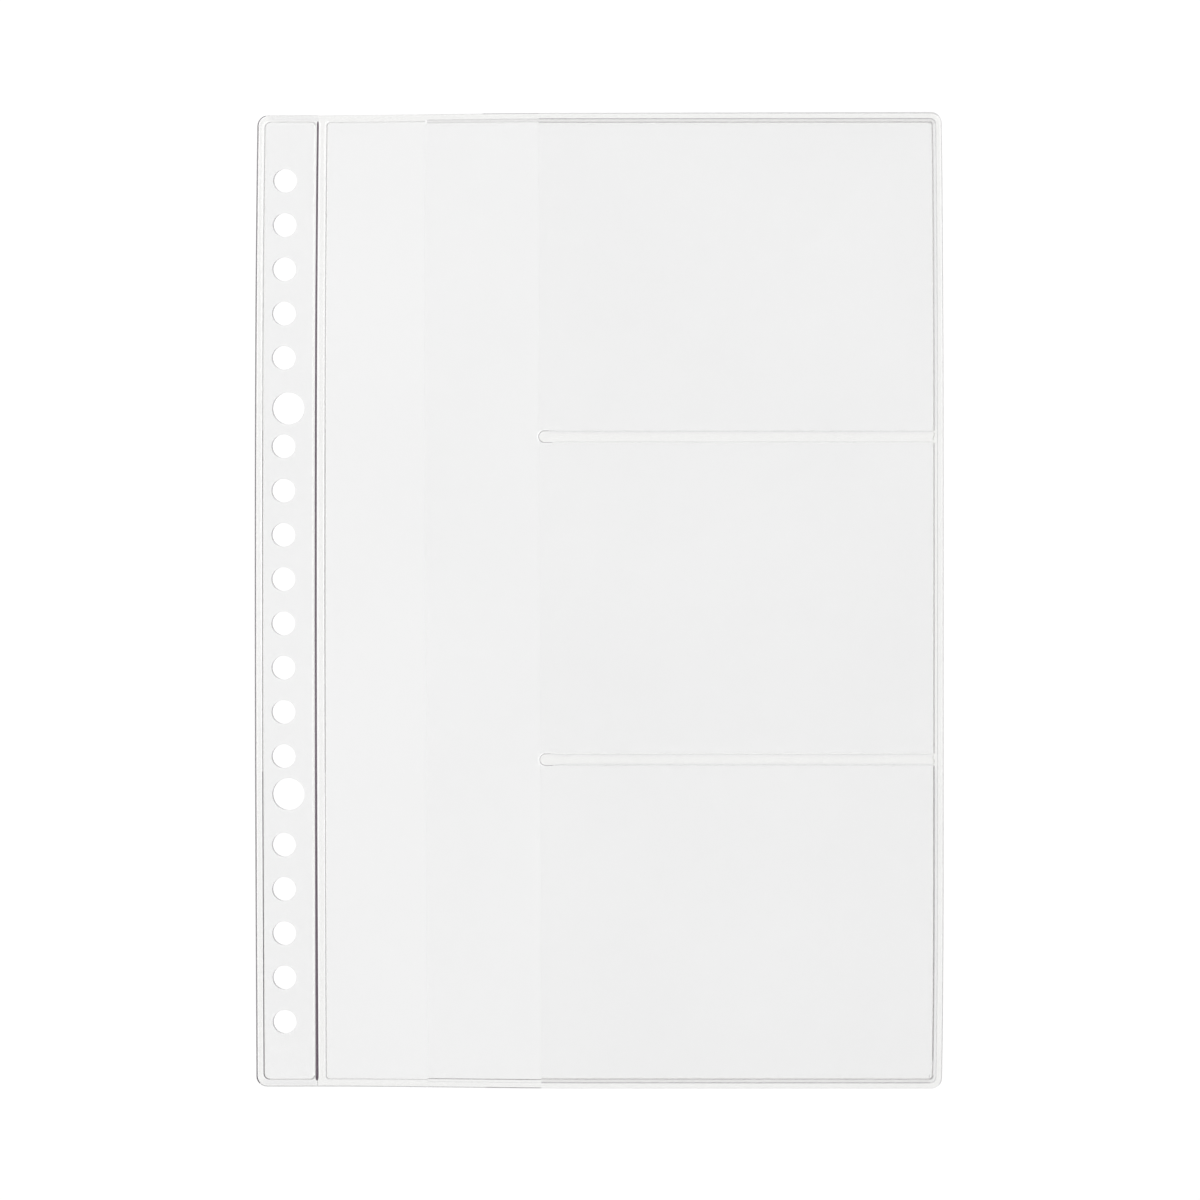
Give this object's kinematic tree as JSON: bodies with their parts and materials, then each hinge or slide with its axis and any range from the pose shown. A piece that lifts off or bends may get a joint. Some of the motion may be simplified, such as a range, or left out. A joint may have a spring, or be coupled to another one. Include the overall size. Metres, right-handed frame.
{
  "type": "binder card pocket page",
  "caption": "Clear soft vinyl page for a ring binder: punched margin, creased hinge, a long pocket and smaller card pockets in front of it, all welded along the edges.",
  "frame": {"origin": "middle of the page's box, on the surface that it lies on", "axes": "+X from the bound edge to the fore edge, +Y up the page along the binding, +Z out of the pocket side"},
  "size_m": [0.148, 0.21, 0.0009],
  "materials": {
    "clear_film": "gloss",
    "weld": "gloss",
    "crease": "gloss"
  },
  "bodies": {
    "binding_edge": {"punched_margin": "clear_film", "reinforcing_strip": "clear_film", "spine_edge_seam": "weld", "spine_top_seam": "weld", "spine_bottom_seam": "weld", "crease_bead": "crease"},
    "leaf": {"back_sheet": "clear_film", "binding_seam": "weld", "top_seam": "weld", "bottom_seam": "weld", "fore_edge_seam": "weld", "upper_divider_seam": "weld", "lower_divider_seam": "weld", "closed_end_beads": "weld", "long_pocket_upper_panel": "clear_film", "long_pocket_middle_panel": "clear_film", "long_pocket_lower_panel": "clear_film"},
    "long_pocket_mouth": {"long_pocket_lip": "clear_film"},
    "upper_card_pocket": {"upper_card_film": "clear_film"},
    "middle_card_pocket": {"middle_card_film": "clear_film"},
    "lower_card_pocket": {"lower_card_film": "clear_film"}
  },
  "joints": [
    {"name": "spine_crease", "type": "hinge", "parent": "binding_edge", "child": "leaf", "pos_m": [-0.0609, 0, 0.0004], "axis": [0, -1, 0], "range_deg": [0, 150]},
    {"name": "long_pocket_opening", "type": "hinge", "parent": "leaf", "child": "long_pocket_mouth", "pos_m": [-0.01325, 0, 0.0005], "axis": [0, 1, 0], "range_deg": [0, 20], "stiffness_Nm_per_rad": 0.002},
    {"name": "upper_pocket_opening", "type": "hinge", "parent": "leaf", "child": "upper_card_pocket", "pos_m": [0.0719, 0, 0.0007], "axis": [0, 1, 0], "range_deg": [0, 6], "stiffness_Nm_per_rad": 0.01},
    {"name": "middle_pocket_opening", "type": "hinge", "parent": "leaf", "child": "middle_card_pocket", "pos_m": [0.0719, 0, 0.0007], "axis": [0, 1, 0], "range_deg": [0, 6], "stiffness_Nm_per_rad": 0.01},
    {"name": "lower_pocket_opening", "type": "hinge", "parent": "leaf", "child": "lower_card_pocket", "pos_m": [0.0719, 0, 0.0007], "axis": [0, 1, 0], "range_deg": [0, 6], "stiffness_Nm_per_rad": 0.01}
  ]
}
